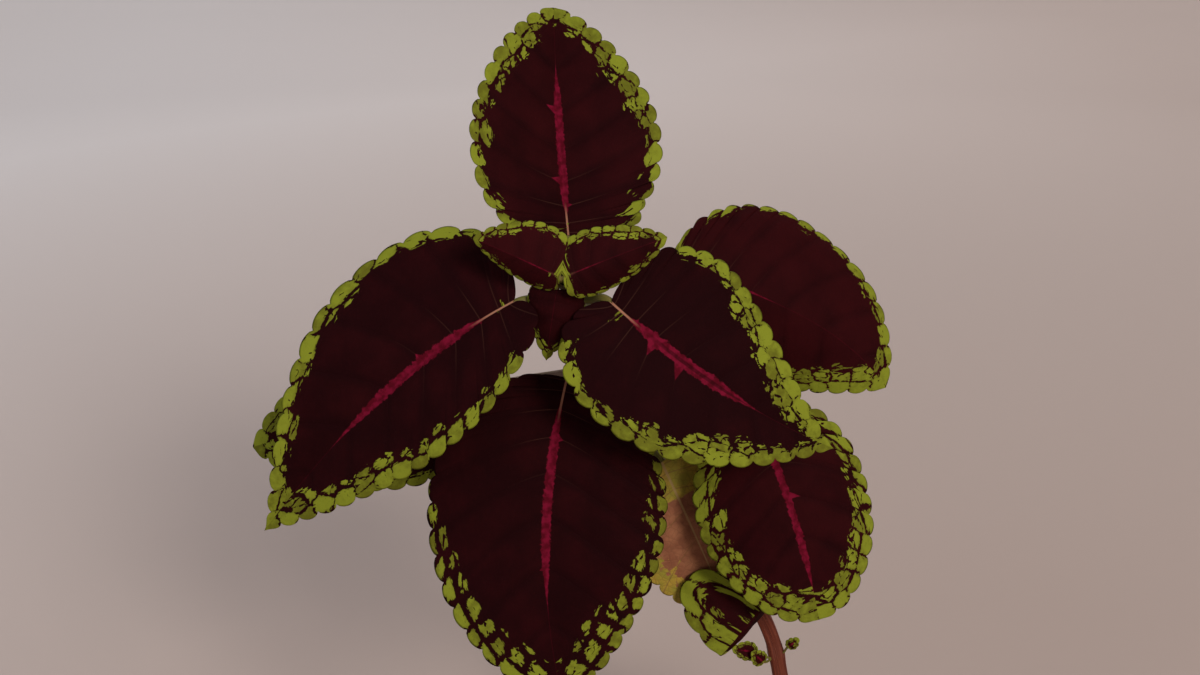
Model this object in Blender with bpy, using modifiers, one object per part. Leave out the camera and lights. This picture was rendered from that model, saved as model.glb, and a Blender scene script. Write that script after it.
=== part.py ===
"""A coleus in a plain pot: the pot, its soil, one leaning stem and the leaves in crossed pairs.

The origin is the middle of the pot's base, +Z is up, and the plant leans to -X and -Y, the side
that its leaves face. Every leaf is a blade of thin toothed sheet joined with its own stalk.
"""
import math
from dataclasses import dataclass

import bmesh
import bpy
import numpy as np
from mathutils import Vector
from mathutils.bvhtree import BVHTree

MM = 0.001

# Pot and soil, in millimetres
POT_HEIGHT = 100.0
POT_TOP_RADIUS = 60.0
POT_BASE_RADIUS = 42.0
POT_WALL = 4.0
POT_FLOOR = 5.0
RIM_HEIGHT = 20.0
RIM_DRAFT = 1.5
RIM_STEP = 4.0
RIM_ROUND = 1.5
DRAIN_HOLES = 4
DRAIN_RADIUS = 4.0
DRAIN_CIRCLE = 24.0
SOIL_BELOW_RIM = 15.0
SOIL_MOUND = 6.0
PLANTING_DEPTH = 32.0
GAP = 0.3

# Stem: the points it passes in millimetres, each with its half thickness
STEM_FOOT_HALF = 3.5
STEM_POINTS = {
    "pair_8": ((-8, 11, 149), 3.3),
    "pair_7": ((-19, 13, 175), 3.2),
    "pair_6": ((-63, 6, 247), 3.0),
    "pair_5": ((-84, -13, 290), 2.7),
    "pair_4": ((-88, -19, 302), 2.5),
    "pair_3": ((-92, -34, 324), 2.2),
    "pair_2": ((-95, -42, 332), 1.8),
    "pair_1": ((-96, -51, 337), 1.5),
}
STEM_FLAT = 0.62
STEM_CORNER = math.hypot(1.0, STEM_FLAT)
NODE_SWELLING = 1.12
NODE_REACH = 5.0
STEM_STEPS = 5
BUD_REACH = (1.2, 1.2, 2.0)

# Leaves
BLADE_THICKNESS = 0.7
LIGHT = (0.0, -0.9, 0.45)
BLADE_COLUMNS = 4
TOOTH_CUTS = 2
TOOTH_ROUNDNESS = 0.6
LOBE_FADE = 6
LOBE_BLUNT = 0.5
FOOT_LAG = 1.3
WAVE_OFFSET = 1.7
CURVE_SAMPLES = 1200
STALK_FOOT = 1.15
STALK_GAP = 0.35
STALK_PULL = 0.42
STALK_STEPS = 7
MIDRIB_REACH = 0.55
MIDRIB_STEPS = 5
MIDRIB_THIN = 0.55
MIDRIB_SUNK = 0.15


@dataclass
class Leaf:
    """One leaf: where its blade starts and ends, and how the sheet is cut, folded and curled.

    Lengths are in millimetres and angles in degrees. Pairs give the left half first and the
    right half second, seen on the face with the tip up.
    """
    name: str
    pair: str
    base: tuple
    tip: tuple
    width: float
    face: tuple = LIGHT
    bow: float = 0.05
    sweep: float = 0.0
    late: float = 0.0
    twist: float = 0.0
    fold: tuple = (5.0, 5.0)
    curl: tuple = (20.0, 20.0)
    halves: tuple = (1.0, 1.0)
    blunt: tuple = (0.5, 0.5)
    point: tuple = (0.8, 0.8)
    lobe: tuple = (0.03, 0.03)
    teeth: int = 15
    tooth: float = 2.0
    wave: float = 1.0
    waves: float = 2.5
    phase: float = 0.0
    petiole: float = 1.5

    def __post_init__(self):
        self.start = np.array(self.base, float)
        chord = np.array(self.tip, float) - self.start
        self.reach = np.linalg.norm(chord)
        self.along = chord / self.reach
        up = np.array(self.face, float)
        up -= (up @ self.along) * self.along
        self.up = up / np.linalg.norm(up)
        self.side = np.cross(self.along, self.up)
        self.share = np.linspace(0.0, 1.0, CURVE_SAMPLES)
        steps = np.diff(self.midrib(self.share), axis=0)
        self.walked = np.concatenate([[0.0], np.cumsum(np.linalg.norm(steps, axis=1))])
        self.length = self.walked[-1]

    def midrib(self, share):
        """The midrib's place: the chord, bowed towards the face and swept to one side."""
        t = np.asarray(share, float)[..., None]
        arch = 4.0 * t * (1.0 - t)
        swept = self.sweep * arch * (1.0 + self.late * (2.0 * t - 1.0))
        return self.start + self.reach * (t * self.along + self.bow * arch * self.up + swept * self.side)

    def axes(self, x):
        """Place, direction, side and face direction of the midrib at x millimetres from the base."""
        x = np.asarray(x, float)
        inside = np.clip(x, 0.0, self.length)
        t = np.interp(inside, self.walked, self.share)
        step = 0.002
        ahead = self.midrib(np.minimum(t + step, 1.0)) - self.midrib(np.maximum(t - step, 0.0))
        ahead /= np.linalg.norm(ahead, axis=-1, keepdims=True)
        side = self.side - np.sum(ahead * self.side, axis=-1, keepdims=True) * ahead
        side /= np.linalg.norm(side, axis=-1, keepdims=True)
        up = np.cross(side, ahead)
        turn = np.radians(self.twist) * (t - 0.5)
        cos, sin = np.cos(turn)[..., None], np.sin(turn)[..., None]
        place = self.midrib(t) + (x - inside)[..., None] * ahead
        return place, ahead, side * cos + up * sin, up * cos - side * sin

    def margin(self, q, right):
        """The flat blade's edge, right or left half, at share q of its length from base to tip.

        The half width is a power curve that is blunt at the base and pointed at the tip, and
        a lobe reaches back beside the stalk. The teeth are round and set out at equal lengths.
        """
        blunt, point = self.blunt[right], self.point[right]
        widest = blunt / (blunt + point)
        s = (1.0 - np.cos(np.linspace(0.0, math.pi, CURVE_SAMPLES))) / 2.0
        half = (s / widest) ** blunt * ((1.0 - s) / (1.0 - widest)) ** point
        back = self.lobe[right] * half ** LOBE_BLUNT
        x = self.length * (s - back * (1.0 - s) ** LOBE_FADE)
        y = self.width / 2.0 * self.halves[right] * half
        walked = np.concatenate([[0.0], np.cumsum(np.hypot(np.diff(x), np.diff(y)))])
        walked /= walked[-1]
        step = 0.004
        dx = np.interp(q + step, walked, x) - np.interp(q - step, walked, x)
        dy = np.interp(q + step, walked, y) - np.interp(q - step, walked, y)
        run = np.hypot(dx, dy) + 1e-9
        crown = np.abs(np.sin(math.pi * q * self.teeth)) ** TOOTH_ROUNDNESS - 0.5
        out = self.tooth * ease(0.03, 0.16, q) * (1.0 - ease(0.93, 1.0, q)) * crown
        edge_x = np.interp(q, walked, x) - dy / run * out
        edge_y = np.interp(q, walked, y) + dx / run * out
        return edge_x, np.maximum(edge_y, 0.0)

    def bend(self, x, y):
        """A point of the flat blade in space: folded at the midrib, curled across and waved."""
        place, _, side, up = self.axes(x)
        right = y > 0.0
        half = self.width / 2.0
        away = np.abs(y)
        fold = np.radians(np.where(right, self.fold[1], self.fold[0]))
        droop = np.radians(np.where(right, self.curl[1], self.curl[0])) * away / half / 2.0
        chord = away * np.sinc(droop / math.pi)
        t = np.clip(x / self.length, 0.0, 1.0)
        swing = 2.0 * math.pi * self.waves * t + self.phase + np.where(right, 0.0, WAVE_OFFSET)
        rise = self.wave * (away / half) ** 2 * np.sin(swing) * ease(0.0, 0.15, t)
        across = chord * np.cos(fold - droop) * np.where(right, 1.0, -1.0)
        height = chord * np.sin(fold - droop) + rise
        return place + across[..., None] * side + height[..., None] * up


LEAVES = [
    Leaf("young_leaf_left", "pair_1", (-99.9, -56, 339), (-125, -49, 349), 27, fold=(-48, 5),
         curl=(30, 20), halves=(0.8, 1.08), blunt=(0.32, 0.32), lobe=(0.0, 0.09), teeth=11,
         tooth=0.8, wave=0.5, petiole=0.8),
    Leaf("young_leaf_right", "pair_1", (-91.8, -56, 339), (-61, -48, 349), 24, fold=(5, -25),
         curl=(20, 40), blunt=(0.32, 0.32), lobe=(0.0, 0.05), teeth=11, tooth=0.8, wave=0.5,
         petiole=0.8, phase=1.0),
    Leaf("upper_leaf_back", "pair_2", (-94.2, -27, 344), (-100, 21, 416), 70, fold=(36, 5),
         curl=(5, 10), sweep=-0.01, bow=0.03, blunt=(0.36, 0.44), point=(0.78, 0.78), teeth=16,
         petiole=1.1),
    Leaf("upper_leaf_front", "pair_2", (-97.6, -50.5, 331.6), (-101.6, -47, 305), 23.4, fold=(0, 0),
         curl=(60, 60), blunt=(0.36, 0.36), point=(1.25, 1.25), lobe=(0.04, 0.04), teeth=9,
         tooth=0.7, wave=0.5, petiole=0.8),
    Leaf("middle_leaf_left", "pair_3", (-113, -44, 325), (-207, -37, 234), 77, fold=(18, 8),
         curl=(40, 20), sweep=0.04, late=-0.4, twist=42, bow=0.06, halves=(0.77, 1.12),
         blunt=(0.5, 0.42), point=(1.05, 1.38), lobe=(0.12, 0.08), teeth=18, phase=0.6),
    Leaf("middle_leaf_right", "pair_3", (-79, -48, 326), (-1, -47, 272), 66, fold=(8, 10),
         curl=(30, 20), sweep=0.05, bow=0.06, halves=(1.12, 1.0), blunt=(0.42, 0.42),
         point=(1.34, 1.15), lobe=(0.07, 0.14), teeth=17, phase=2.0),
    Leaf("front_leaf", "pair_4", (-95, -32, 292.5), (-97, -55, 173), 86, sweep=0.055,
         point=(0.74, 0.74), lobe=(0.01, 0.01), teeth=18, phase=3.0, petiole=1.7),
    Leaf("back_leaf", "pair_4", (-88, 27, 323), (-95, 122, 366), 52, face=(0, -0.6, 0.8),
         phase=4.0, petiole=1.7),
    Leaf("wide_leaf_left", "pair_5", (-122, -7, 280), (-221, 6, 248), 60, fold=(0, 0),
         phase=5.0, petiole=1.6),
    Leaf("wide_leaf_right", "pair_5", (-57, -5, 328), (28.5, 7, 273), 75, fold=(0, -20),
         curl=(40, 30), sweep=-0.06, late=0.5, halves=(1.04, 1.0), blunt=(0.62, 0.55),
         point=(0.88, 0.8), teeth=17, phase=0.3, petiole=1.6),
    Leaf("lower_leaf_right", "pair_6", (-25, -9, 271), (2, -26, 189), 72, fold=(0, 0),
         curl=(25, 25), sweep=-0.02, halves=(0.9, 1.0), blunt=(0.45, 0.45), point=(0.53, 0.53),
         lobe=(0.02, 0.02), phase=1.4, petiole=1.6),
    Leaf("yellowing_leaf", "pair_6", (-59, -2, 245), (-29, 1, 173.5), 53, fold=(0, 0),
         teeth=14, phase=2.6),
    Leaf("small_leaf", "pair_7", (-15, -12, 190), (-35, -18, 167), 57, fold=(-70, 5),
         curl=(20, 10), halves=(1.0, 1.06), point=(0.6, 0.45), teeth=6, tooth=1.4, petiole=1.1),
]

# Side shoots at the lowest joint: the points of the stalk after the stem, and its small leaves
SHOOT_STALK = 0.8
SHOOT_THIN = 0.8
SHOOT_TOOTH = 0.5
SHOOTS = {
    "side_shoot_left": (
        [(-14, 5, 149), (-18, 4, 154)],
        [
            Leaf("first", "", (-17, 4, 154), (-28, 2, 157), 8, teeth=5, tooth=SHOOT_TOOTH, wave=0.0),
            Leaf("second", "", (-14, 4, 149), (-20, 0, 157), 7, teeth=5, tooth=SHOOT_TOOTH, wave=0.0),
        ],
    ),
    "side_shoot_right": (
        [(-4, 6, 155)],
        [
            Leaf("first", "", (-4, 6, 154), (0, 4, 161), 5, teeth=4, tooth=SHOOT_TOOTH, wave=0.0),
        ],
    ),
}


def ease(low, high, value):
    """Rise smoothly from 0 at low to 1 at high."""
    t = np.clip((value - low) / (high - low), 0.0, 1.0)
    return t * t * (3.0 - 2.0 * t)


def clear_scene():
    """Start from an empty scene."""
    for item in list(bpy.data.objects):
        bpy.data.objects.remove(item, do_unlink=True)


def new_collection(name):
    collection = bpy.data.collections.new(name)
    bpy.context.scene.collection.children.link(collection)
    return collection


def finish(name, colour, roughness):
    """A plain material with one colour."""
    material = bpy.data.materials.new(name)
    material.use_nodes = True
    shader = material.node_tree.nodes["Principled BSDF"]
    shader.inputs["Base Color"].default_value = (*colour, 1.0)
    shader.inputs["Roughness"].default_value = roughness
    shader.inputs["Metallic"].default_value = 0.0
    return material


def terracotta():
    return finish("fired clay", (0.45, 0.17, 0.09), 0.85)


def potting_soil():
    return finish("potting soil", (0.03, 0.018, 0.012), 0.95)


def stem_skin():
    return finish("stem skin", (0.22, 0.06, 0.04), 0.6)


def bud_green():
    return finish("bud green", (0.2, 0.24, 0.03), 0.6)


def leaf_maroon():
    return finish("maroon leaf", (0.05, 0.006, 0.012), 0.55)


def leaf_yellowing():
    return finish("yellowing leaf", (0.2, 0.12, 0.03), 0.6)


def mesh_object(name, mesh, collection, material=None):
    """An object for this mesh, linked to the collection and given its material."""
    item = bpy.data.objects.new(name, mesh)
    collection.objects.link(item)
    if material:
        mesh.materials.append(material)
    return item


def hide_tool(item):
    """Mark an object that only shapes another one."""
    item.hide_render = True
    item.display_type = "WIRE"


def turned(name, profile, steps, collection, material):
    """A solid turned about Z from a profile of (radius, height) points in millimetres."""
    mesh = bpy.data.meshes.new(name)
    points = [(radius * MM, 0.0, height * MM) for radius, height in profile]
    edges = [(i, i + 1) for i in range(len(points) - 1)]
    mesh.from_pydata(points, edges, [])
    item = mesh_object(name, mesh, collection, material)
    screw = item.modifiers.new("turn", "SCREW")
    screw.axis = "Z"
    screw.steps = steps
    screw.render_steps = steps
    screw.use_merge_vertices = True
    screw.merge_threshold = 0.00001
    screw.use_normal_calculate = True
    return item


def wall_radius(height):
    """Outer radius of the pot's wall under the rim at a height."""
    top = POT_TOP_RADIUS - RIM_DRAFT - RIM_STEP
    share = height / (POT_HEIGHT - RIM_HEIGHT)
    return POT_BASE_RADIUS + (top - POT_BASE_RADIUS) * share


def make_pot(collection, tools):
    """The pot: tapered wall, stepped rim and a flat floor with drain holes off its middle."""
    rim_foot = POT_HEIGHT - RIM_HEIGHT
    profile = [
        (0.0, POT_FLOOR),
        (wall_radius(POT_FLOOR) - POT_WALL, POT_FLOOR),
        (wall_radius(POT_HEIGHT) - POT_WALL, POT_HEIGHT - RIM_ROUND),
        (wall_radius(POT_HEIGHT) - POT_WALL + RIM_ROUND, POT_HEIGHT),
        (POT_TOP_RADIUS - RIM_ROUND, POT_HEIGHT),
        (POT_TOP_RADIUS, POT_HEIGHT - RIM_ROUND),
        (POT_TOP_RADIUS - RIM_DRAFT, rim_foot + RIM_ROUND),
        (POT_TOP_RADIUS - RIM_DRAFT - RIM_ROUND, rim_foot),
        (wall_radius(rim_foot), rim_foot),
        (wall_radius(RIM_ROUND), RIM_ROUND),
        (POT_BASE_RADIUS - RIM_ROUND, 0.0),
        (0.0, 0.0),
    ]
    pot = turned("pot", profile, 32, collection, terracotta())
    for number in range(DRAIN_HOLES):
        angle = 2.0 * math.pi * (number + 0.5) / DRAIN_HOLES
        mesh = bpy.data.meshes.new(f"drain_{number}")
        drill = bmesh.new()
        bmesh.ops.create_cone(drill, cap_ends=True, segments=12, radius1=DRAIN_RADIUS * MM,
                              radius2=DRAIN_RADIUS * MM, depth=4.0 * POT_FLOOR * MM)
        drill.to_mesh(mesh)
        drill.free()
        tool = mesh_object(f"drain_{number}", mesh, tools)
        tool.location = (DRAIN_CIRCLE * MM * math.cos(angle), DRAIN_CIRCLE * MM * math.sin(angle), 0.0)
        hide_tool(tool)
        cut = pot.modifiers.new(f"drain_{number}", "BOOLEAN")
        cut.operation = "DIFFERENCE"
        cut.object = tool
    return pot


def soil_top(radius):
    """Height of the soil: a low mound that is highest at the stem."""
    edge = POT_HEIGHT - SOIL_BELOW_RIM
    share = min(radius / (POT_TOP_RADIUS - POT_WALL), 1.0)
    return edge + SOIL_MOUND * (1.0 - share ** 2)


def make_soil(collection):
    """The soil: it fills the pot with a hair's gap and has a plain blind hole for the stem."""
    hole = STEM_FOOT_HALF * STEM_CORNER + GAP
    floor = POT_FLOOR + GAP
    edge = wall_radius(soil_top(POT_TOP_RADIUS)) - POT_WALL - 2.0 * GAP
    profile = [
        (0.0, soil_top(0.0) - PLANTING_DEPTH),
        (hole, soil_top(0.0) - PLANTING_DEPTH),
        (hole, soil_top(hole)),
    ]
    for share in (0.35, 0.65, 0.9):
        profile.append((edge * share, soil_top(edge * share)))
    profile.append((edge, soil_top(POT_TOP_RADIUS)))
    profile.append((wall_radius(floor) - POT_WALL - 2.0 * GAP, floor))
    profile.append((0.0, floor))
    return turned("soil", profile, 32, collection, potting_soil())


def stem_route():
    """The stem's points: upright in the soil, then a smooth curve through the leaf joints."""
    top = soil_top(0.0)
    knots = [Vector((0, 0, top - PLANTING_DEPTH + GAP)), Vector((0, 0, top))]
    halves = [STEM_FOOT_HALF, STEM_FOOT_HALF]
    for place, half in STEM_POINTS.values():
        knots.append(Vector(place))
        halves.append(half)
    points = [(knots[0], halves[0])]
    for i in range(1, len(knots) - 1):
        before, start, end = knots[i - 1], knots[i], knots[i + 1]
        after = knots[min(i + 2, len(knots) - 1)]
        span = (end - start).length
        start_pull = (end - before).normalized() * span
        end_pull = (after - start).normalized() * span
        count = max(2, min(STEM_STEPS, int(span / 3.0)))
        for step in range(count):
            t = step / count
            point = start * (2 * t ** 3 - 3 * t ** 2 + 1) + start_pull * (t ** 3 - 2 * t ** 2 + t)
            point += end * (3 * t ** 2 - 2 * t ** 3) + end_pull * (t ** 3 - t ** 2)
            points.append((point, halves[i] + (halves[i + 1] - halves[i]) * t))
    points.append((knots[-1], halves[-1]))
    return points


def swelling(point):
    """The stem is a little thicker at each leaf joint."""
    nearest = min((point - Vector(place)).length for place, _ in STEM_POINTS.values())
    return 1.0 + (NODE_SWELLING - 1.0) * max(0.0, 1.0 - nearest / NODE_REACH)


def poly_curve(name, points, collection):
    """A curve object through (point, radius) pairs in millimetres."""
    curve = bpy.data.curves.new(name, "CURVE")
    curve.dimensions = "3D"
    curve.use_fill_caps = True
    spline = curve.splines.new("POLY")
    spline.points.add(len(points) - 1)
    for target, (place, radius) in zip(spline.points, points):
        target.co = (*(Vector(place) * MM), 1.0)
        target.radius = radius
    item = bpy.data.objects.new(name, curve)
    collection.objects.link(item)
    return item


def curve_to_mesh(item, collection):
    """Replace a curve by its mesh, with the end caps welded on."""
    bpy.context.view_layer.update()
    graph = bpy.context.evaluated_depsgraph_get()
    mesh = bpy.data.meshes.new_from_object(item.evaluated_get(graph))
    mesh.name = item.name
    work = bmesh.new()
    work.from_mesh(mesh)
    bmesh.ops.remove_doubles(work, verts=work.verts, dist=0.00001)
    bmesh.ops.recalc_face_normals(work, faces=work.faces)
    work.to_mesh(mesh)
    work.free()
    name = item.name
    place = item.matrix_world.copy()
    bpy.data.objects.remove(item, do_unlink=True)
    solid = bpy.data.objects.new(name, mesh)
    solid.matrix_world = place
    collection.objects.link(solid)
    return solid


def stem_section(tools):
    """The stem's section: a square one unit across half, with its corners cut off."""
    curve = bpy.data.curves.new("stem_section", "CURVE")
    curve.dimensions = "2D"
    spline = curve.splines.new("POLY")
    spline.points.add(7)
    for number, point in enumerate(spline.points):
        angle = math.radians(90.0 * (number // 2))
        x, y = 1.0, STEM_FLAT if number % 2 else -STEM_FLAT
        turned_x = x * math.cos(angle) - y * math.sin(angle)
        turned_y = x * math.sin(angle) + y * math.cos(angle)
        point.co = (turned_x * MM, turned_y * MM, 0.0, 1.0)
    spline.use_cyclic_u = True
    item = bpy.data.objects.new("stem_section", curve)
    tools.objects.link(item)
    hide_tool(item)
    return item


def make_stem(collection, tools):
    """The stem: square with soft corners, swollen at the joints, tapering to the tip."""
    section = stem_section(tools)
    points = [(point, half * swelling(point)) for point, half in stem_route()]
    curve = poly_curve("stem", points, collection)
    curve.data.bevel_mode = "OBJECT"
    curve.data.bevel_object = section
    stem = curve_to_mesh(curve, collection)
    bpy.data.objects.remove(section, do_unlink=True)
    stem.data.materials.append(stem_skin())
    return stem


def surface_tree(item):
    """The object's own mesh as a tree that rays can be cast at, in metres."""
    return BVHTree.FromPolygons([v.co for v in item.data.vertices], [p.vertices for p in item.data.polygons])


def stalk_start(tree, joint, toward, radius):
    """Where a stalk of this radius starts so that its end keeps a gap to the stem."""
    spread = toward.orthogonal().normalized()
    other = toward.cross(spread)
    reach = 0.0
    for number in range(8):
        angle = 2.0 * math.pi * number / 8
        rim = joint + (spread * math.cos(angle) + other * math.sin(angle)) * radius
        outside = rim + toward * 20.0
        hit = tree.ray_cast(outside * MM, -toward, 30.0 * MM)[0]
        if hit is not None:
            reach = max(reach, (hit / MM - joint).dot(toward))
    return joint + toward * (reach + STALK_GAP)


def stalk_points(leaf, tree):
    """A leaf stalk from the stem to the blade's base, then on under the blade as its midrib."""
    joint = Vector(STEM_POINTS[leaf.pair][0])
    names = list(STEM_POINTS)
    row = names.index(leaf.pair)
    above = Vector(STEM_POINTS[names[min(row + 1, len(names) - 1)]][0])
    below = Vector(STEM_POINTS[names[max(row - 1, 0)]][0])
    axis = (above - below).normalized()
    end = Vector(leaf.base)
    toward = end - joint
    toward = (toward - axis * toward.dot(axis)).normalized()
    radius = leaf.petiole
    start = stalk_start(tree, joint, toward, radius * STALK_FOOT)
    place, ahead, _, up = leaf.axes(np.array([0.0]))
    end = Vector(place[0] - up[0] * (radius - MIDRIB_SUNK))
    span = (end - start).length
    pull = start + toward * span * STALK_PULL
    push = end - Vector(ahead[0]) * span * STALK_PULL
    points = []
    for step in range(STALK_STEPS):
        t = step / STALK_STEPS
        spot = start * (1 - t) ** 3 + pull * (3 * t * (1 - t) ** 2)
        spot += push * (3 * t ** 2 * (1 - t)) + end * t ** 3
        points.append((spot, radius * (STALK_FOOT + (1.0 - STALK_FOOT) * t)))
    for step in range(MIDRIB_STEPS + 1):
        t = step / MIDRIB_STEPS
        thick = radius * (1.0 - MIDRIB_THIN * t)
        place, _, _, up = leaf.axes(np.array([leaf.length * MIDRIB_REACH * t]))
        points.append((Vector(place[0] - up[0] * (thick - MIDRIB_SUNK)), thick))
    return points


def tube(name, points, collection):
    """A round tube through (point, radius) pairs, as a closed mesh."""
    curve = poly_curve(name, points, collection)
    curve.data.bevel_depth = MM
    curve.data.bevel_resolution = 1
    return curve_to_mesh(curve, collection)


def blade_mesh(leaf):
    """The blade as one thin sheet: a grid over share of edge and width, toothed and bent."""
    work = bmesh.new()
    bmesh.ops.create_grid(work, x_segments=leaf.teeth, y_segments=BLADE_COLUMNS, size=0.5)
    edge_runs = []
    for edge in work.edges:
        ends = [vertex.co.y for vertex in edge.verts]
        if abs(abs(ends[0]) - 0.5) < 1e-6 and abs(ends[0] - ends[1]) < 1e-6:
            edge_runs.append(edge)
    bmesh.ops.subdivide_edges(work, edges=edge_runs, cuts=TOOTH_CUTS)
    for vertex in work.verts:
        q = vertex.co.x + 0.5
        across = vertex.co.y * 2.0
        edge_x, edge_y = leaf.margin(np.array(q), across > 0.0)
        foot = leaf.length * q ** FOOT_LAG
        vertex.co = (foot + (edge_x - foot) * abs(across), edge_y * across, 0.0)
    bmesh.ops.remove_doubles(work, verts=work.verts, dist=0.01)
    bmesh.ops.triangulate(work, faces=work.faces)
    for vertex in work.verts:
        vertex.co = Vector(leaf.bend(np.array(vertex.co.x), np.array(vertex.co.y))) * MM
    mesh = bpy.data.meshes.new(leaf.name)
    work.to_mesh(mesh)
    work.free()
    return mesh


def thicken(item):
    """Give a sheet the blade's thickness, half on each side."""
    sheet = item.modifiers.new("thickness", "SOLIDIFY")
    sheet.thickness = BLADE_THICKNESS * MM
    sheet.offset = 0.0


def join(item, other, name):
    """Union another closed object into this one."""
    hide_tool(other)
    union = item.modifiers.new(name, "BOOLEAN")
    union.operation = "UNION"
    union.object = other


def make_leaf(leaf, tree, collection, tools, material):
    """One leaf: the blade joined with the stalk that runs on under it as the midrib."""
    item = mesh_object(leaf.name, blade_mesh(leaf), collection, material)
    thicken(item)
    stalk = tube(f"{leaf.name}_stalk", stalk_points(leaf, tree), tools)
    join(item, stalk, "stalk")
    return item


def make_shoot(name, tree, collection, tools, material):
    """A side shoot: a short stalk with its small leaves, joined into one piece."""
    route, leaves = SHOOTS[name]
    joint = Vector(STEM_POINTS["pair_8"][0])
    axis = Vector(STEM_POINTS["pair_7"][0]) - joint
    toward = Vector(route[0]) - joint
    toward = (toward - axis * toward.dot(axis) / axis.length_squared).normalized()
    start = stalk_start(tree, joint, toward, SHOOT_STALK)
    points = [(start, SHOOT_STALK), (start + toward * SHOOT_STALK, SHOOT_STALK)]
    for place in route:
        points.append((Vector(place), SHOOT_STALK * SHOOT_THIN))
    item = tube(name, points, collection)
    item.data.materials.append(material)
    for leaf in leaves:
        blade = mesh_object(f"{name}_{leaf.name}", blade_mesh(leaf), tools)
        thicken(blade)
        join(item, blade, leaf.name)
    return item


def make_bud(collection):
    """The green bud at the tip of the stem."""
    mesh = bpy.data.meshes.new("tip_bud")
    work = bmesh.new()
    bmesh.ops.create_uvsphere(work, u_segments=10, v_segments=6, radius=MM)
    for vertex in work.verts:
        vertex.co = [value * reach for value, reach in zip(vertex.co, BUD_REACH)]
    work.to_mesh(mesh)
    work.free()
    bud = mesh_object("tip_bud", mesh, collection, bud_green())
    names = list(STEM_POINTS)
    tip = Vector(STEM_POINTS[names[-1]][0])
    axis = (tip - Vector(STEM_POINTS[names[-2]][0])).normalized()
    bud.location = (tip + axis * (BUD_REACH[2] + GAP)) * MM
    bud.rotation_euler = axis.to_track_quat("Z", "Y").to_euler()
    return bud


def build():
    """Model the whole plant."""
    clear_scene()
    plant = new_collection("coleus")
    tools = new_collection("shaping tools")
    make_pot(plant, tools)
    make_soil(plant)
    stem = make_stem(plant, tools)
    tree = surface_tree(stem)
    maroon = leaf_maroon()
    for leaf in LEAVES:
        material = leaf_yellowing() if leaf.name == "yellowing_leaf" else maroon
        make_leaf(leaf, tree, plant, tools, material)
    for name in SHOOTS:
        make_shoot(name, tree, plant, tools, maroon)
    make_bud(plant)


build()
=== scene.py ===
# %% [markdown]
# # A coleus in a clay pot
#
# This lesson dresses a plain CAD model of a potted coleus as the real plant: maroon velvet
# leaves with a crimson streak and a lime margin, a square stem, peat and a clay pot.
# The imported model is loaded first. It is the fixed frame: every new piece is made in its
# coordinates, in millimetres, and turned into metres with its mesh.

# %% Load the frame
import math
from dataclasses import dataclass

import bmesh
import bpy
import numpy as np
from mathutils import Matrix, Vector


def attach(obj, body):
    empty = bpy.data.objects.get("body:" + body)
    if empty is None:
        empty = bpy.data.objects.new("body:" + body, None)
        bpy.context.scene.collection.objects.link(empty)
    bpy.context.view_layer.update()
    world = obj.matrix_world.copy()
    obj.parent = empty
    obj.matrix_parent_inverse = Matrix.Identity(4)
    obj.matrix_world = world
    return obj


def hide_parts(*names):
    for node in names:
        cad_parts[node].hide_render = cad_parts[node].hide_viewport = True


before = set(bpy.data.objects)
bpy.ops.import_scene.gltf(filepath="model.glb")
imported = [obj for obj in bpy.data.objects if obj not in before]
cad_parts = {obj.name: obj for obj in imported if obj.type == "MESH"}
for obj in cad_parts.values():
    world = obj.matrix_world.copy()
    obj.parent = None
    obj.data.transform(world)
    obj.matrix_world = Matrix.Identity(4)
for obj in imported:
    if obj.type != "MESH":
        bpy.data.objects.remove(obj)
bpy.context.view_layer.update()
MM = 0.001
print("nodes:", ", ".join(sorted(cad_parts)))

# %% [markdown]
# ## Skins
#
# A leaf, a stalk, a crumb of peat and the pot are all closed skins over rings of points that
# shrink to one point at both ends, so one helper makes all the meshes. The numbers after a
# point's place become attributes that the materials read, such as the depth in the margin.

# %% Mesh helpers
ATTRIBUTES = ("flat", "rim", "tone", "detail")


def ease(low, high, value):
    """Rise smoothly from 0 at low to 1 at high."""
    t = np.clip((value - low) / (high - low), 0.0, 1.0)
    return t * t * (3.0 - 2.0 * t)


def unit(vectors):
    """The same directions with length one."""
    return vectors / np.linalg.norm(vectors, axis=-1, keepdims=True)


def square_to(axis, vectors):
    """The directions nearest to the vectors that are square to the axis."""
    return unit(vectors - np.sum(vectors * axis, axis=-1, keepdims=True) * axis)


def walked_along(points):
    """The distance walked along a path at each of its points."""
    return np.concatenate([[0.0], np.cumsum(np.linalg.norm(np.diff(points, axis=0), axis=1))])


def even_angles(count):
    """Angles at even steps round a full turn."""
    return np.linspace(0.0, 2.0 * math.pi, count, endpoint=False)


def turned(radius, height, columns):
    """Rings of a profile turned about Z, from its radii and heights."""
    angle = even_angles(columns)
    x, y = radius[:, None] * np.cos(angle), radius[:, None] * np.sin(angle)
    return np.stack(np.broadcast_arrays(x, y, height[:, None]), -1)


def skin(rings):
    """Vertices and faces of the closed skin over an array of rings (rows, columns, numbers).

    The first and last ring count as one vertex each. Each ring runs counter-clockwise seen
    from the last one, so that the faces point outwards.
    """
    rows, columns = rings.shape[:2]
    index = np.zeros((rows, columns + 1), int)
    index[1:-1, :-1] = 1 + np.arange((rows - 2) * columns).reshape(rows - 2, columns)
    index[1:-1, -1] = index[1:-1, 0]
    index[-1] = 1 + (rows - 2) * columns
    middle = rings[1:-1].reshape(-1, rings.shape[2])
    vertices = np.concatenate([rings[:1, 0], middle, rings[-1:, 0]])
    quads = np.stack([index[:-1, :-1], index[:-1, 1:], index[1:, 1:], index[1:, :-1]], -1)
    return vertices, quads


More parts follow.
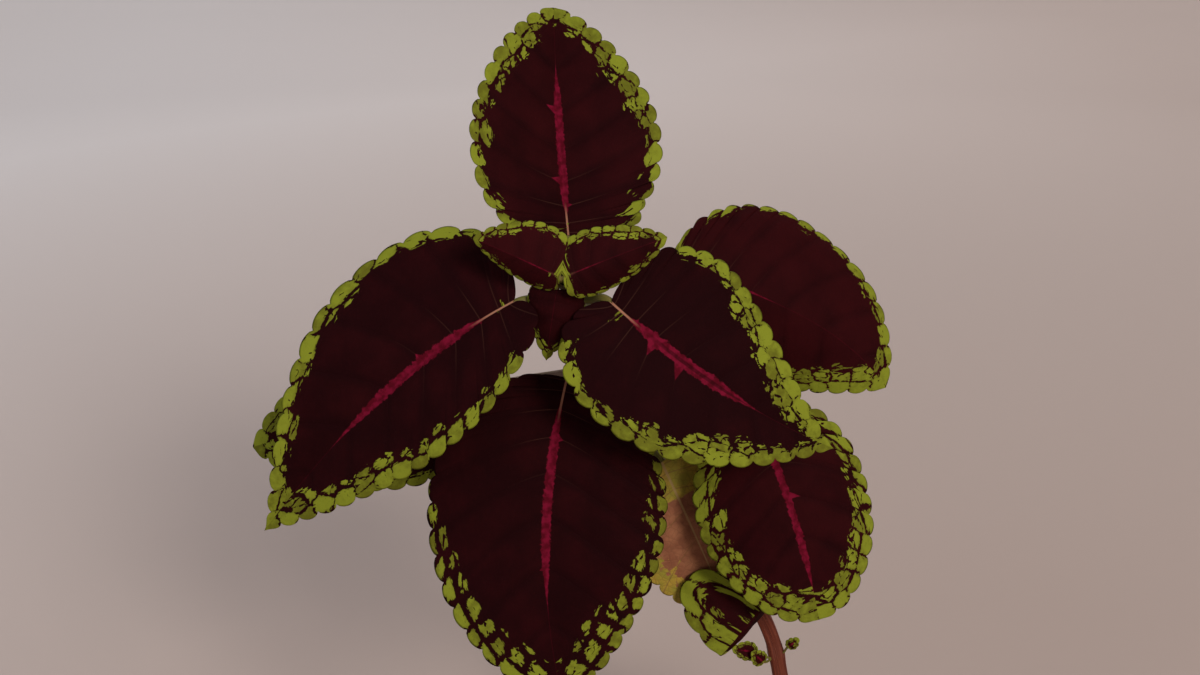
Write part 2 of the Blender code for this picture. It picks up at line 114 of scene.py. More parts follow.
def add_object(name, data):
    """A new object with this data, in the scene."""
    item = bpy.data.objects.new(name, data)
    bpy.context.scene.collection.objects.link(item)
    return item


def make_piece(name, parts, finishes, nodes):
    """One object from closed skins in millimetres: (rings, finish number of each column) pairs."""
    vertices, faces, numbers, count = [], [], [], 0
    for rings, column_finish in parts:
        places, quads = skin(rings)
        finish_of = np.broadcast_to(column_finish, quads.shape[:2])
        vertices.append(places)
        faces += (quads[1:-1].reshape(-1, 4) + count).tolist()
        faces += (quads[0][:, 1:] + count).tolist() + (quads[-1][:, [0, 1, 3]] + count).tolist()
        numbers += [finish_of[1:-1].ravel(), finish_of[0], finish_of[-1]]
        count += len(places)
    vertices = np.concatenate(vertices)
    mesh = bpy.data.meshes.new(name)
    mesh.from_pydata(vertices[:, :3] * MM, [], faces)
    for number, attribute in enumerate(ATTRIBUTES):
        first = 3 + 3 * number
        if vertices.shape[1] > first:
            layer = mesh.attributes.new(attribute, "FLOAT_VECTOR", "POINT")
            layer.data.foreach_set("vector", vertices[:, first:first + 3].astype(np.float32).ravel())
    for finish in finishes:
        mesh.materials.append(finish)
    mesh.polygons.foreach_set("material_index", np.concatenate(numbers).astype(np.int32))
    mesh.shade_smooth()
    item = add_object(name, mesh)
    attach(item, "root")
    if nodes:
        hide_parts(*nodes)
    print(f"{name}: {len(mesh.polygons)} faces")
    return item


def tube_rings(path, radius, reference, section):
    """Rings round a path: radius times the section's factor, in the plane across the path.

    The section is a list of factors at even angles; a quarter turn round lies towards the
    reference direction. Three numbers follow each place: the distance along the path, the
    distance round the tube, and the share of the path's length.
    """
    ahead = unit(np.gradient(path, axis=0))
    up = square_to(ahead, reference)
    across = np.cross(up, ahead)
    angle = even_angles(len(section))
    reach = radius[:, None] * section
    rings = path[:, None] + (reach * np.cos(angle))[..., None] * across[:, None]
    rings = rings + (reach * np.sin(angle))[..., None] * up[:, None]
    walked = walked_along(path)[:, None]
    numbers = np.broadcast_arrays(walked, angle * radius.max(), walked / walked[-1])
    return np.concatenate([rings, np.stack(numbers, -1)], -1)


# %% [markdown]
# ## Writing a material as sums
#
# A shader graph is easier to read as a formula. A Wire wraps one socket, and adding or
# multiplying wires adds the Math nodes. A Finish is one material; its `add` makes any other
# node from its kind, its settings and its inputs.

# %% Material helpers
class Wire:
    """One output socket. Arithmetic on wires becomes Math nodes."""

    def __init__(self, finish, socket):
        self.finish = finish
        self.socket = socket

    def out(self, name):
        """Another output of the same node."""
        return Wire(self.finish, self.socket.node.outputs[name])

    def __add__(self, other):
        return self.finish.math("ADD", self, other)

    def __sub__(self, other):
        return self.finish.math("SUBTRACT", self, other)

    def __rsub__(self, other):
        return self.finish.math("SUBTRACT", other, self)

    def __mul__(self, other):
        return self.finish.math("MULTIPLY", self, other)

    def __truediv__(self, other):
        return self.finish.math("DIVIDE", self, other)

    def __pow__(self, other):
        return self.finish.math("POWER", self, other)

    def __abs__(self):
        return self.finish.math("ABSOLUTE", self)

    __radd__ = __add__
    __rmul__ = __mul__

    def step(self, low, high):
        """Smoothly 0 below low and 1 above high; a low above high turns it round."""
        return self.finish.add("MapRange", {0: self, 1: low, 2: high}, interpolation_type="SMOOTHSTEP")


class Finish:
    """One material: how much its shader mirrors, and the nodes that its formulas add."""

    def __init__(self, name, specular):
        self.material = bpy.data.materials.new(name)
        self.material.use_nodes = True
        self.tree = self.material.node_tree
        self.shader = self.tree.nodes["Principled BSDF"]
        self.shader.inputs["Specular IOR Level"].default_value = specular

    def put(self, socket, value):
        """Set an input socket to a value or link a wire to it."""
        if isinstance(value, Wire):
            self.tree.links.new(value.socket, socket)
        elif socket.type == "RGBA":
            socket.default_value = (*value, 1.0)
        else:
            socket.default_value = value

    def add(self, kind, inputs, output=0, **settings):
        """Add a node, set its settings first and then its inputs, and return one output."""
        node = self.tree.nodes.new("ShaderNode" + kind)
        for name, value in settings.items():
            setattr(node, name, value)
        for name, value in inputs.items():
            self.put(node.inputs[name], value)
        return Wire(self, node.outputs[output])

    def math(self, operation, *values):
        """A Math node, such as MAXIMUM, on wires and numbers."""
        return self.add("Math", dict(enumerate(values)), operation=operation)

    def split(self, vector):
        """The three numbers of a vector."""
        parts = self.add("SeparateXYZ", {0: vector})
        return parts, parts.out("Y"), parts.out("Z")

    def join(self, x, y, z=0.0):
        """A vector of three numbers."""
        return self.add("CombineXYZ", {0: x, 1: y, 2: z})

    def attribute(self, name):
        """One of the mesh's attributes, as a vector."""
        return self.add("Attribute", {}, "Vector", attribute_name=name)

    def place(self):
        """Place on the object, in millimetres."""
        spot = self.add("TexCoord", {}, "Object")
        return self.add("VectorMath", {0: spot, "Scale": 1.0 / MM}, operation="SCALE")

    def noise(self, vector, size, detail=2.0, roughness=0.5):
        """Cloudy noise between about 0.3 and 0.7 whose lumps are this many millimetres."""
        inputs = {"Vector": vector, "Scale": 1.0 / size, "Detail": detail, "Roughness": roughness}
        return self.add("TexNoise", inputs)

    def cells(self, vector, size, feature="F1", randomness=1.0, dimensions="3D"):
        """Voronoi cells of about this size."""
        inputs = {"Vector": vector, "Scale": 1.0 / size, "Randomness": randomness}
        return self.add("TexVoronoi", inputs, feature=feature, voronoi_dimensions=dimensions)

    def mix(self, factor, first, second):
        """The first colour where the factor is 0 and the second where it is 1."""
        return self.add("Mix", {0: factor, 6: first, 7: second}, 2, data_type="RGBA")

    def finish(self, colour, roughness, height=None):
        """Link what changes over the surface; the height is in millimetres."""
        self.put(self.shader.inputs["Base Color"], colour)
        self.put(self.shader.inputs["Roughness"], roughness)
        if height is not None:
            bump = self.add("Bump", {"Distance": MM, "Height": height})
            self.put(self.shader.inputs["Normal"], bump)
        return self.material


# %% [markdown]
# ## The cut of a leaf
#
# A coleus leaf is an egg-shaped sheet with round teeth. It is cut flat here as a dressmaker
# would cut it, and then folded at the midrib, curled and waved. The formula is the one
# that the CAD model uses, so the finer leaf follows the CAD leaf.

# %% Leaf formula
LIGHT = (0.0, -0.9, 0.45)
TOOTH_ROUNDNESS = 0.6
TEETH_BEGIN, TEETH_END = (0.03, 0.16), (0.93, 1.0)
LOBE_FADE, LOBE_BLUNT = 6, 0.5
WAVES, WAVE_OFFSET, WAVE_BEGIN = 2.5, 1.7, 0.15
CURVE_SAMPLES = 1200


@dataclass
class Leaf:
    """One leaf: the stem joint that bears it, counted from the tip, its blade and its colours.

    Lengths are in millimetres and angles in degrees. Pairs give the left half first and the
    right half second, seen on the face with the tip up. Bow and sweep are shares of the
    leaf's length, and late moves the sweep towards the tip. The streak is its half width and the
    share of the leaf where it ends. The lime margin is as wide as `lime` says at six even
    steps from base to tip; below zero there is none. A row of it is `row_depth` deep, and a
    larger `gap` is more dark between its blobs. Core is how dark the streak's middle is, pale
    how light the midrib's foot is, red how wine red the blade is, and tan how light brown
    the stalk is, all from 0 to 1.
    """
    name: str
    pair: int
    base: tuple
    tip: tuple
    width: float
    face: tuple = LIGHT
    bow: float = 0.05
    sweep: float = 0.0
    late: float = 0.0
    twist: float = 0.0
    fold: tuple = (5.0, 5.0)
    curl: tuple = (20.0, 20.0)
    halves: tuple = (1.0, 1.0)
    blunt: tuple = (0.5, 0.5)
    point: tuple = (0.8, 0.8)
    lobe: tuple = (0.03, 0.03)
    teeth: int = 15
    tooth: float = 2.0
    wave: float = 1.0
    phase: float = 0.0
    petiole: float = 1.5
    streak: tuple = (1.5, 0.62)
    lime: tuple = ((3, 4, 5, 6, 8, 9), (3, 4, 5, 6, 8, 9))
    row_depth: float = 4.4
    gap: float = 0.03
    core: float = 0.0
    pale: float = 1.0
    red: float = 0.3
    tan: float = 0.0

    def __post_init__(self):
        self.start = np.array(self.base, float)
        chord = np.array(self.tip, float) - self.start
        self.reach = np.linalg.norm(chord)
        self.along = chord / self.reach
        self.up = square_to(self.along, np.array(self.face, float))
        self.side = np.cross(self.along, self.up)
        self.share = np.linspace(0.0, 1.0, CURVE_SAMPLES)
        self.walked = walked_along(self.midrib(self.share))
        self.length = self.walked[-1]

    def midrib(self, share):
        """The midrib's place: the chord, bowed towards the face and swept to one side."""
        t = share[..., None]
        arch = 4.0 * t * (1.0 - t)
        swept = self.sweep * arch * (1.0 + self.late * (2.0 * t - 1.0))
        return self.start + self.reach * (t * self.along + self.bow * arch * self.up + swept * self.side)

    def axes(self, x):
        """Place, direction, side and face direction of the midrib at x millimetres from the base."""
        inside = np.clip(x, 0.0, self.length)
        t = np.interp(inside, self.walked, self.share)
        step = 0.002
        ahead = unit(self.midrib(np.minimum(t + step, 1.0)) - self.midrib(np.maximum(t - step, 0.0)))
        side = square_to(ahead, self.side)
        up = np.cross(side, ahead)
        turn = np.radians(self.twist) * (t - 0.5)
        cos, sin = np.cos(turn)[..., None], np.sin(turn)[..., None]
        place = self.midrib(t) + (x - inside)[..., None] * ahead
        return place, ahead, side * cos + up * sin, up * cos - side * sin

    def margin(self, q, right, toothed=True):
        """The flat blade's edge, right or left half, at share q of its length from base to tip.

        The half width is a power curve, blunt at the base and pointed at the tip, and a lobe
        reaches back beside the stalk. The teeth are round and set out at equal lengths;
        without them the line runs along their crowns.
        """
        blunt, point = self.blunt[right], self.point[right]
        widest = blunt / (blunt + point)
        s = (1.0 - np.cos(np.linspace(0.0, math.pi, CURVE_SAMPLES))) / 2.0
        half = (s / widest) ** blunt * ((1.0 - s) / (1.0 - widest)) ** point
        back = self.lobe[right] * half ** LOBE_BLUNT
        x = self.length * (s - back * (1.0 - s) ** LOBE_FADE)
        y = self.width / 2.0 * self.halves[right] * half
        walked = walked_along(np.stack([x, y], -1))
        walked /= walked[-1]
        edge_x, edge_y = np.interp(q, walked, x), np.interp(q, walked, y)
        step = 0.004
        dx, dy = [np.interp(q + step, walked, line) - np.interp(q - step, walked, line) for line in (x, y)]
        run = np.hypot(dx, dy) + 1e-9
        crown = np.abs(np.sin(math.pi * q * self.teeth)) ** TOOTH_ROUNDNESS if toothed else 1.0
        out = self.tooth * ease(*TEETH_BEGIN, q) * (1.0 - ease(*TEETH_END, q)) * (crown - 0.5)
        return edge_x - dy / run * out, np.maximum(edge_y + dx / run * out, 0.0)

    def bend(self, x, y):
        """A point of the flat blade in space: folded at the midrib, curled across and waved."""
        place, _, side, up = self.axes(x)
        right = (y > 0.0).astype(int)
        half = self.width / 2.0
        away = np.abs(y)
        fold = np.radians(self.fold)[right]
        droop = np.radians(self.curl)[right] * away / half / 2.0
        chord = away * np.sinc(droop / math.pi)
        t = np.clip(x / self.length, 0.0, 1.0)
        swing = 2.0 * math.pi * WAVES * t + self.phase + WAVE_OFFSET * (1 - right)
        rise = self.wave * (away / half) ** 2 * np.sin(swing) * ease(0.0, WAVE_BEGIN, t)
        across = chord * np.cos(fold - droop) * (2 * right - 1)
        height = chord * np.sin(fold - droop) + rise
        return place + across[..., None] * side + height[..., None] * up


# %% [markdown]
# ## The leaves on the plant
#
# Leaves grow in crossed pairs, so each pair is a quarter turn round from the next. The old
# leaves are low and large, the young ones small and redder. Where each blade starts and
# ends, its width and its folds are the CAD model's, apart from the two youngest, which
# start nearer together here and meet. The sizes of the colours are added.

# %% Leaf table
YOUNG = dict(blunt=(0.32, 0.32), teeth=11, tooth=0.8, wave=0.5, petiole=0.8, row_depth=2.0,
             gap=0.05, pale=0.1)
LEAVES = [
    Leaf("young_leaf_left", 1, (-96.6, -56, 337.8), (-125, -49, 349), 27, fold=(-48, 5),
         curl=(30, 20), halves=(0.8, 1.08), lobe=(0.07, 0.035), streak=(0.2, 0.5),
         lime=((0.5, 1.5, 2, 2, 2.5, 2), (2, 2.5, 3, 3, 3.5, 3)), red=0.9, **YOUNG),
    Leaf("young_leaf_right", 1, (-94.8, -56, 337.8), (-61, -48, 349), 24, fold=(5, -25),
         curl=(20, 40), lobe=(0.035, 0.07), phase=1.0, streak=(0.2, 0.4),
         lime=((2, 3, 3.5, 4, 4, 2.5), (0.5, 2, 2, 2.5, 3, 2)), red=0.6, **YOUNG),
    Leaf("upper_leaf_back", 2, (-94.2, -27, 344), (-100, 21, 416), 70, fold=(36, 5),
         curl=(5, 10), sweep=-0.01, bow=0.03, blunt=(0.36, 0.44), point=(0.78, 0.78), teeth=16,
         petiole=1.1, streak=(1.7, 0.72), lime=((-9, 3, 4.5, 6, 9, 5), (-9, 1.5, 5, 8, 9, 5)), red=0.5),
    Leaf("upper_leaf_front", 2, (-97.6, -50.5, 331.6), (-101.6, -47, 305), 23.4, fold=(0, 0),
         curl=(60, 60), blunt=(0.36, 0.36), point=(1.25, 1.25), lobe=(0.04, 0.04), teeth=9,
         tooth=0.7, wave=0.5, petiole=0.8, streak=(0.0, 0.5),
         lime=((-2, -2, 0, 1.5, 2.5, 3.5), (-2, -1, 1, 2.5, 3, 3.5)), row_depth=1.7, pale=0.0, red=0.5),
    Leaf("middle_leaf_left", 3, (-113, -44, 325), (-207, -37, 234), 77, fold=(18, 8),
         curl=(40, 20), sweep=0.04, late=-0.4, twist=42, bow=0.06, halves=(0.77, 1.12),
         blunt=(0.5, 0.42), point=(1.05, 1.38), lobe=(0.12, 0.08), teeth=18, phase=0.6,
         streak=(1.9, 0.62), lime=((-14, 3, 6, 8, 8, 10), (-8, 3.5, 5, 6, 6, 9)), red=0.25),
    Leaf("middle_leaf_right", 3, (-79, -48, 326), (-1, -47, 272), 66, fold=(8, 10),
         curl=(30, 20), sweep=0.05, bow=0.06, halves=(1.12, 1.0), blunt=(0.42, 0.42),
         point=(1.34, 1.15), lobe=(0.07, 0.14), teeth=17, phase=2.0, streak=(2.1, 0.64),
         lime=((-9, -1, 7, 9, 11, 5), (-13, 3.5, 5, 7, 7, 4)), gap=0.0, core=0.6, red=0.1),
    Leaf("front_leaf", 4, (-95, -32, 292.5), (-97, -55, 173), 86, sweep=0.055,
         point=(0.74, 0.74), lobe=(0.01, 0.01), teeth=18, phase=3.0, petiole=1.7,
         streak=(1.75, 0.68), lime=((0, 1, 5, 7, 14, 12), (-4, -2, -1, 8, 14, 12)), gap=0.13, red=0.25),
    Leaf("back_leaf", 4, (-88, 27, 323), (-95, 122, 366), 52, face=(0, -0.6, 0.8),
         phase=4.0, petiole=1.7),
    Leaf("wide_leaf_left", 5, (-122, -7, 280), (-221, 6, 248), 60, fold=(0, 0),
         phase=5.0, petiole=1.6, tan=1.0),
    Leaf("wide_leaf_right", 5, (-57, -5, 328), (28.5, 7, 273), 75, fold=(0, -20),
         curl=(40, 30), sweep=-0.06, late=0.5, halves=(1.04, 1.0), blunt=(0.62, 0.55),
         point=(0.88, 0.8), teeth=17, phase=0.3, petiole=1.6, streak=(0.6, 0.42),
         lime=((1, 1, 2, 4, 5, 8), (1, 3, 4, 7, 13, 10)), red=0.75),
    Leaf("lower_leaf_right", 6, (-25, -9, 271), (2, -26, 189), 72, fold=(0, 0),
         curl=(25, 25), sweep=-0.02, halves=(0.9, 1.0), blunt=(0.45, 0.45), point=(0.53, 0.53),
         lobe=(0.02, 0.02), phase=1.4, petiole=1.6, streak=(1.45, 0.85),
         lime=((4, 6, 7, 8, 11, 14), (5, 9, 10, 9, 13, 14)), gap=0.05, red=0.6),
    Leaf("yellowing_leaf", 6, (-59, -2, 245), (-29, 1, 173.5), 53, fold=(0, 0),
         teeth=14, phase=2.6),
    Leaf("small_leaf", 7, (-15, -12, 190), (-35, -18, 167), 57, fold=(-70, 5),
         curl=(20, 10), halves=(1.0, 1.06), point=(0.6, 0.45), teeth=6, tooth=1.4, petiole=1.1,
         streak=(0.0, 0.5), lime=((-3, 0, 1, 2, 3, 3), (-14, 1, 7, 11, 11, 8)), gap=0.05,
         pale=0.3, red=0.6),
]
print(len(LEAVES), "leaves; longest", round(max(leaf.length for leaf in LEAVES)), "mm")

# %% [markdown]
# ## Blade skin
#
# The blade's section goes out along the face and back along the underside, and both meet at
# a thin margin. Veins run from the midrib to every second tooth and fork once. On the face
# they are sunk, and the leaf puffs up between them; on the underside they stand out as ribs.

# %% Blade rings
BLADE_HALF = 0.24
CLOSING_SHARE = 0.012
ROWS_A_TOOTH = 12
HALF_COLUMNS = 26
MARGIN_CROWDING = 0.08
FOOT_LAG = 2.0
VEIN_LEAN = 1.35
FIRST_VEIN = 1.5
FORK_START = 0.5
VEIN_WIDTH, VEIN_SINK, VEIN_MARGIN = 0.8, 0.1, 4.0
RIB = 0.3
MIDRIB_WIDTH, MIDRIB_SINK = 0.9, 0.12
PUFF, PUFF_WIDTH, PUFF_MARGIN, PUFF_MIDRIB = 0.22, 3.0, 6.0, 5.0
STREAK_BEGIN = (0.02, 0.2)
# Millimetres and rows from one leaf's stretch of the patterns to the next one's.
LEAF_SHIFT, ROW_SHIFT = 200.0, 40


def vein_distance(row, v, spacing):
    """Distance in millimetres to the nearest vein: every second tooth has one, forked once."""
    main = np.abs((row - FIRST_VEIN + 1.0) % 2.0 - 1.0)
    split = np.clip((np.abs(v) - FORK_START) / (1.0 - FORK_START), 0.0, 1.0)
    fork = np.abs((row + split - FIRST_VEIN + 1.0) % 2.0 - 1.0)
    return np.where(np.abs(v) > FORK_START, np.minimum(main, fork), main) * spacing


def flat_blade(leaf, q, v):
    """The flat blade at share q of the margin and v of the width: veins bow towards the tip."""
    left, right = [np.stack(leaf.margin(q, half)) for half in (False, True)]
    edge_x, edge_y = np.where(v > 0.0, right[..., None], left[..., None])
    foot = leaf.length * q[:, None] ** FOOT_LAG
    return foot + (edge_x - foot) * np.abs(v) ** VEIN_LEAN, edge_y * v


def depth_inside(leaf, x, y, q):
    """Distance from each point of the flat blade to the line of its half's tooth crowns, in mm."""
    depths = []
    for right in (False, True):
        edge_x, edge_y = leaf.margin(q, right, False)
        depths.append(np.hypot(x[..., None] - edge_x, np.abs(y)[..., None] - edge_y).min(-1))
    return np.where(y > 0.0, depths[1], depths[0])


def blade_part(leaf, number):
    """Rings of the blade, its face left to right and its underside back, and their finishes."""
    q = np.linspace(0.0, 1.0, leaf.teeth * ROWS_A_TOOTH + 1)
    k = np.linspace(0.0, 1.0, HALF_COLUMNS + 1)
    half = k - MARGIN_CROWDING * np.sin(2.0 * math.pi * k)
    v = np.concatenate([-half[:0:-1], half])
    x, y = flat_blade(leaf, q, v)
    step = 0.2
    sheet = leaf.bend(x, y)
    along = leaf.bend(x + step, y) - leaf.bend(x - step, y)
    across = leaf.bend(x, y + step) - leaf.bend(x, y - step)
    normal = unit(np.cross(across, along))

    row = np.broadcast_to(q[:, None] * leaf.teeth, x.shape)
    run_x, run_y = np.gradient(x, axis=1), np.gradient(y, axis=1)
    rise_x, rise_y = np.gradient(x, axis=0), np.gradient(y, axis=0)
    width = np.abs(run_x * rise_y - run_y * rise_x) / (np.hypot(run_x, run_y) + 1e-6)
    spacing = width * ROWS_A_TOOTH
    depth = depth_inside(leaf, x, y, q)
    share = np.clip(x / leaf.length, 0.0, 1.0)

    vein = vein_distance(row, v, spacing)
    groove = np.exp(-(vein / VEIN_WIDTH) ** 2) * ease(0.0, VEIN_MARGIN, depth) * (1.0 - 0.5 * np.abs(v))
    midrib = np.exp(-(y / MIDRIB_WIDTH) ** 2) * (1.0 - share)
    puff = PUFF * (1.0 - np.exp(-(vein / PUFF_WIDTH) ** 2)) * ease(0.0, PUFF_MARGIN, depth)
    puff = puff * ease(0.0, PUFF_MIDRIB, np.abs(y))
    closed = np.sqrt(ease(0.0, CLOSING_SHARE, q) * ease(1.0, 1.0 - CLOSING_SHARE, q))[:, None]
    thick = BLADE_HALF * np.sqrt(1.0 - np.abs(v) ** 8) * closed
    sunk = VEIN_SINK * groove + MIDRIB_SINK * midrib
    top = sheet + normal * (thick + closed * (puff - sunk))[..., None]
    low = sheet - normal * (thick - closed * (puff - RIB * groove))[..., None]

    knots = np.linspace(0.0, 1.0, len(leaf.lime[0]))
    left, right = [np.interp(q, knots, widths)[:, None] for widths in leaf.lime]
    limit = np.where(v > 0.0, right, left) / leaf.row_depth
    strength, end = leaf.streak
    streak = strength * ease(*STREAK_BEGIN, share) * ease(end + 0.04, end - 0.2, share)
    flat = np.stack([x + LEAF_SHIFT * number, y, share], -1)
    rim = np.stack([row + ROW_SHIFT * number, depth / leaf.row_depth, spacing], -1)
    tone = np.stack(np.broadcast_arrays(streak, limit, leaf.red), -1)
    detail = np.broadcast_to([leaf.gap, leaf.core, leaf.pale], tone.shape)
    numbers = np.concatenate([flat, rim, tone, detail], -1)
    face = np.concatenate([top, numbers], -1)
    underside = np.concatenate([low, numbers], -1)[:, -2:0:-1]
    rings = np.concatenate([face, underside], 1)
    return rings, np.repeat([0, 1], [len(v) - 1, rings.shape[1] - len(v) + 1])


# %% [markdown]
# ## Stalk and midrib
#
# A leaf stalk leaves the stem square to it, bends to the blade and goes on under it as the
# midrib, thinner and thinner. It is a tube with a groove on the side of the leaf's face.

# %% Stalk rings
JOINTS = np.array([(-8, 11, 149), (-19, 13, 175), (-63, 6, 247), (-84, -13, 290),
                   (-88, -19, 302), (-92, -34, 324), (-95, -42, 332), (-96, -51, 337)], float)
JOINT_HALVES = [3.3, 3.2, 3.0, 2.7, 2.5, 2.2, 1.8, 1.5]
STALK_ROWS, STALK_COLUMNS = 24, 24
STALK_SPEED = 1.26
STALK_FOOT = 0.6
STALK_GROOVE = 0.22
FOOT_FLARE, FLARE_REACH = 0.35, 1.2
MIDRIB_ROWS = 40
MIDRIB_REACH = 0.9
MIDRIB_THIN = 0.85
MIDRIB_CLEAR = 0.05


def cubic(start, leave, end, arrive, t):
    """A cubic curve from start to end, with the speeds at which it leaves and arrives."""
    near = start * (2 * t ** 3 - 3 * t ** 2 + 1) + leave * (t ** 3 - 2 * t ** 2 + t)
    return near + end * (3 * t ** 2 - 2 * t ** 3) + arrive * (t ** 3 - t ** 2)


def stem_axis(pair):
    """A joint of the stem, the stem's half thickness there, and the direction that it runs in."""
    row = len(JOINTS) - pair
    above, below = JOINTS[min(row + 1, len(JOINTS) - 1)], JOINTS[max(row - 1, 0)]
    return JOINTS[row], JOINT_HALVES[row], unit(above - below)


def stalk_rings(leaf):
    """Rings of the stalk from inside the stem's skin to the blade, then of the midrib.

    The midrib lies in the wedge below the two halves, against the line that parts them. The
    numbers after the first attribute all say how tan the stalk is.
    """
    joint, half, axis = stem_axis(leaf.pair)
    toward = square_to(axis, leaf.start - joint)
    start = joint + toward * half * STALK_FOOT
    place, ahead, _, up = leaf.axes(np.array([0.0]))
    end = place[0] - up[0] * (leaf.petiole + MIDRIB_CLEAR)
    span = np.linalg.norm(end - start)
    speed = STALK_SPEED * span
    t = np.linspace(0.0, 1.0, STALK_ROWS)[:-1]
    stalk = cubic(start, toward * speed, end, ahead[0] * speed, t[:, None])
    s = np.linspace(0.0, 1.0, MIDRIB_ROWS)
    thick = leaf.petiole * (1.0 - MIDRIB_THIN * s)
    place, _, side, face = leaf.axes(leaf.length * MIDRIB_REACH * s)
    left, right = np.radians(leaf.fold)
    lean, steep = (right - left) / 2.0, min((left + right) / 2.0, 0.0)
    below = side * math.sin(lean) - face * math.cos(lean)
    midrib = place + below * ((thick + MIDRIB_CLEAR) / math.cos(steep))[:, None]
    path = np.concatenate([stalk, midrib])
    flare = 1.0 + FOOT_FLARE * np.exp(-t * span / (FLARE_REACH * leaf.petiole))
    radius = np.concatenate([leaf.petiole * flare, thick])
    radius[[0, -1]] = 0.0
    reference = np.concatenate([np.broadcast_to(leaf.up, stalk.shape), face])
    groove = STALK_GROOVE * np.exp(-((even_angles(STALK_COLUMNS) - math.pi / 2.0) / 0.5) ** 2)
    rings = tube_rings(path, radius, reference, 1.0 - groove)
    others = (*rings.shape[:2], 3 * len(ATTRIBUTES) - 3)
    return np.concatenate([rings, np.broadcast_to(leaf.tan, others)], -1)


# %% [markdown]
# ## Leaf finishes
#
# The lime margin is not painted in one band. It is a row of blobs, one to a tooth, parted by
# dark lines and broken up near their inner ends. Voronoi cells in the coordinates (tooth
# number, rows in from the margin) give just this: a cell's border is the dark line, and the
# cell's random colour says how far in its blob reaches.

# %% Leaf finishes
MAROON, WINE = (0.0095, 0.0013, 0.0018), (0.024, 0.0024, 0.0032)
OLIVE, LIME = (0.092, 0.094, 0.009), (0.165, 0.190, 0.016)
CRIMSON, ROSE = (0.062, 0.002, 0.007), (0.128, 0.004, 0.018)
PALE = (0.26, 0.12, 0.075)
BLOB_DEPTH, BLOB_WANDER = 0.65, 0.6
PART_SIZE, TINY_SIZE = 0.7, 0.17
NET_SIZE = 2.6


class LeafFinish(Finish):
    """A finish that knows what the leaf's attributes say at a point."""

    def __init__(self, name, specular, layer=0.0):
        super().__init__(name, specular)
        self.x, self.y, self.share = self.split(self.attribute("flat"))
        self.row, self.depth, spacing = self.split(self.attribute("rim"))
        self.streak, self.limit, self.red = self.split(self.attribute("tone"))
        self.gap, self.core, self.pale = self.split(self.attribute("detail"))
        self.side = self.math("SIGN", self.y)
        self.nearest = self.math("ROUND", (self.row - FIRST_VEIN) / 2.0)
        self.vein = abs(self.row - FIRST_VEIN - self.nearest * 2.0) * spacing
        self.spot = self.join(self.x, self.y, layer)
        self.net = self.cells(self.spot, NET_SIZE, "DISTANCE_TO_EDGE")


def lime_blobs(finish, limit, gap):
    """A mask of the lime blobs, how far inside its blob a point is, and the blob's own number.

    A blob reaches in as far as the limit, give or take a third of a row, with a round end.
    Near that end the gap opens and smaller cells part it, and tiny ones fray its outline.
    """
    depth = finish.depth
    across = finish.row + finish.side * (ROW_SHIFT / 2)
    spot = finish.join(across, depth)
    warp = finish.split(finish.add("TexNoise", {"Vector": spot, "Scale": 1.3}, "Color"))
    across = across - 0.25 + (warp[0] - 0.5) * 0.5
    inward = depth + (warp[1] - 0.5) * 0.5
    place = finish.join(across, inward * BLOB_DEPTH)
    field = finish.cells(place, 1.0, "F1", BLOB_WANDER, "2D")
    border = finish.cells(place, 1.0, "DISTANCE_TO_EDGE", BLOB_WANDER, "2D")
    chance, pick, _ = finish.split(field.out("Color"))
    middle = finish.split(field.out("Position"))[0]
    spot = finish.join(across, inward)
    part = finish.cells(spot, PART_SIZE, "F1", 1.0, "2D")
    part_border = finish.cells(spot, PART_SIZE, "DISTANCE_TO_EDGE", 1.0, "2D")
    part_luck = finish.split(part.out("Color"))[0] - 0.5
    tiny = finish.split(finish.cells(spot, TINY_SIZE, "F1", 1.0, "2D").out("Color"))
    closeness = finish.noise(spot, 1.1) - 0.5
    grain = (finish.noise(spot, 0.25, 2.0, 0.6) - 0.5) * 0.25

    reach = limit + 0.3 + (chance - 0.5) * 0.7 - abs(across - middle) ** 2.0 * 0.8
    inner = (depth / finish.math("MAXIMUM", reach, 0.2)).step(0.1, 1.0)
    edge = border - gap - inner * 0.06 - closeness * 0.3 - (tiny[0] - 0.5) * 0.07 - grain
    cracks = part_border + 0.13 - inner * 0.22 - closeness * 0.2 - (tiny[1] - 0.5) * 0.2 - grain
    frayed = reach + part_luck * 0.5 + (tiny[0] - 0.5) * 0.3 + grain - depth
    mask = edge.step(-0.01, 0.015) * cracks.step(-0.01, 0.02) * frayed.step(-0.01, 0.03)
    return mask, edge, pick


